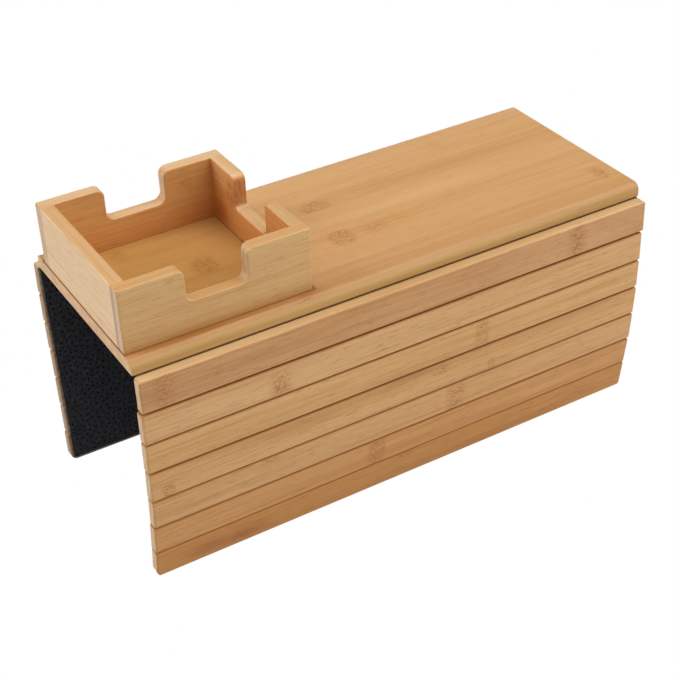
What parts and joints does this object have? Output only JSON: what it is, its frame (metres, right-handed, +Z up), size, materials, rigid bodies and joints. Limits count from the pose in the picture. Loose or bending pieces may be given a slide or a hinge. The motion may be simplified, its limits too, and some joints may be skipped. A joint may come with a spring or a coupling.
{
  "type": "sofa arm tray",
  "caption": "Bamboo tray for a sofa arm: a board with a square notched cup box and two hanging flaps of slats on a black anti-slip fabric hinge.",
  "frame": {"origin": "centre of the resting face: the underside of the fabric under the board, which lies on the sofa's arm", "axes": "+X along the tray, away from the cup box; +Y from the front flap to the back flap; +Z up, out of the board's top"},
  "size_m": [0.332, 0.1421, 0.1865],
  "materials": {
    "board_bamboo": "satin clear lacquer on carbonised-light bamboo",
    "wall_bamboo": "satin clear lacquer",
    "slat_bamboo": "satin clear lacquer",
    "anti_slip_fabric": "matt black non-woven with small dark grip dots",
    "screw_steel": "zinc plated"
  },
  "bodies": {
    "tray": {"top_board": "board_bamboo", "box_wall_front": "wall_bamboo", "box_wall_back": "wall_bamboo", "box_wall_left": "wall_bamboo", "box_wall_right": "wall_bamboo", "box_screws": "screw_steel", "fabric_top": "anti_slip_fabric"},
    "front_link_1": {"front_slat_1": "slat_bamboo", "fabric_front_1": "anti_slip_fabric"},
    "front_link_2": {"front_slat_2": "slat_bamboo", "fabric_front_2": "anti_slip_fabric"},
    "front_link_3": {"front_slat_3": "slat_bamboo", "fabric_front_3": "anti_slip_fabric"},
    "front_link_4": {"front_slat_4": "slat_bamboo", "fabric_front_4": "anti_slip_fabric"},
    "front_link_5": {"front_slat_5": "slat_bamboo", "fabric_front_5": "anti_slip_fabric"},
    "front_link_6": {"front_slat_6": "slat_bamboo", "fabric_front_6": "anti_slip_fabric"},
    "front_link_7": {"front_slat_7": "slat_bamboo", "fabric_front_7": "anti_slip_fabric"},
    "back_link_1": {"back_slat_1": "slat_bamboo", "fabric_back_1": "anti_slip_fabric"},
    "back_link_2": {"back_slat_2": "slat_bamboo", "fabric_back_2": "anti_slip_fabric"},
    "back_link_3": {"back_slat_3": "slat_bamboo", "fabric_back_3": "anti_slip_fabric"},
    "back_link_4": {"back_slat_4": "slat_bamboo", "fabric_back_4": "anti_slip_fabric"},
    "back_link_5": {"back_slat_5": "slat_bamboo", "fabric_back_5": "anti_slip_fabric"},
    "back_link_6": {"back_slat_6": "slat_bamboo", "fabric_back_6": "anti_slip_fabric"},
    "back_link_7": {"back_slat_7": "slat_bamboo", "fabric_back_7": "anti_slip_fabric"}
  },
  "joints": [
    {"name": "front_flap_hinge", "type": "hinge", "parent": "tray", "child": "front_link_1", "pos_m": [0, -0.0636, 0.0004], "axis": [-1, 0, 0], "range_deg": [-55.7, 89.3]},
    {"name": "front_bend_1_2", "type": "hinge", "parent": "front_link_1", "child": "front_link_2", "pos_m": [0, -0.06386, -0.02075], "axis": [1, 0, 0], "range_deg": [-4.3, 44.7]},
    {"name": "front_bend_2_3", "type": "hinge", "parent": "front_link_2", "child": "front_link_3", "pos_m": [0, -0.064, -0.04055], "axis": [1, 0, 0], "range_deg": [-5.9, 43.1]},
    {"name": "front_bend_3_4", "type": "hinge", "parent": "front_link_3", "child": "front_link_4", "pos_m": [0, -0.06349, -0.05994], "axis": [1, 0, 0], "range_deg": [-6.3, 42.7]},
    {"name": "front_bend_4_5", "type": "hinge", "parent": "front_link_4", "child": "front_link_5", "pos_m": [0, -0.06216, -0.08], "axis": [1, 0, 0], "range_deg": [-5, 44]},
    {"name": "front_bend_5_6", "type": "hinge", "parent": "front_link_5", "child": "front_link_6", "pos_m": [0, -0.0605, -0.09973], "axis": [1, 0, 0], "range_deg": [-6.7, 42.3]},
    {"name": "front_bend_6_7", "type": "hinge", "parent": "front_link_6", "child": "front_link_7", "pos_m": [0, -0.05792, -0.11933], "axis": [1, 0, 0], "range_deg": [-4.4, 44.6]},
    {"name": "back_flap_hinge", "type": "hinge", "parent": "tray", "child": "back_link_1", "pos_m": [0, 0.0636, 0.0004], "axis": [-1, 0, 0], "range_deg": [-88.6, 56.4]},
    {"name": "back_bend_1_2", "type": "hinge", "parent": "back_link_1", "child": "back_link_2", "pos_m": [0, 0.06412, -0.02074], "axis": [1, 0, 0], "range_deg": [-43.1, 5.9]},
    {"name": "back_bend_2_3", "type": "hinge", "parent": "back_link_2", "child": "back_link_3", "pos_m": [0, 0.06394, -0.04054], "axis": [1, 0, 0], "range_deg": [-43.6, 5.4]},
    {"name": "back_bend_3_4", "type": "hinge", "parent": "back_link_3", "child": "back_link_4", "pos_m": [0, 0.0633, -0.05993], "axis": [1, 0, 0], "range_deg": [-44.5, 4.5]},
    {"name": "back_bend_4_5", "type": "hinge", "parent": "back_link_4", "child": "back_link_5", "pos_m": [0, 0.06246, -0.08002], "axis": [1, 0, 0], "range_deg": [-45.1, 3.9]},
    {"name": "back_bend_5_6", "type": "hinge", "parent": "back_link_5", "child": "back_link_6", "pos_m": [0, 0.06166, -0.0998], "axis": [1, 0, 0], "range_deg": [-45.2, 3.8]},
    {"name": "back_bend_6_7", "type": "hinge", "parent": "back_link_6", "child": "back_link_7", "pos_m": [0, 0.06094, -0.11956], "axis": [1, 0, 0], "range_deg": [-45.2, 3.8]}
  ]
}
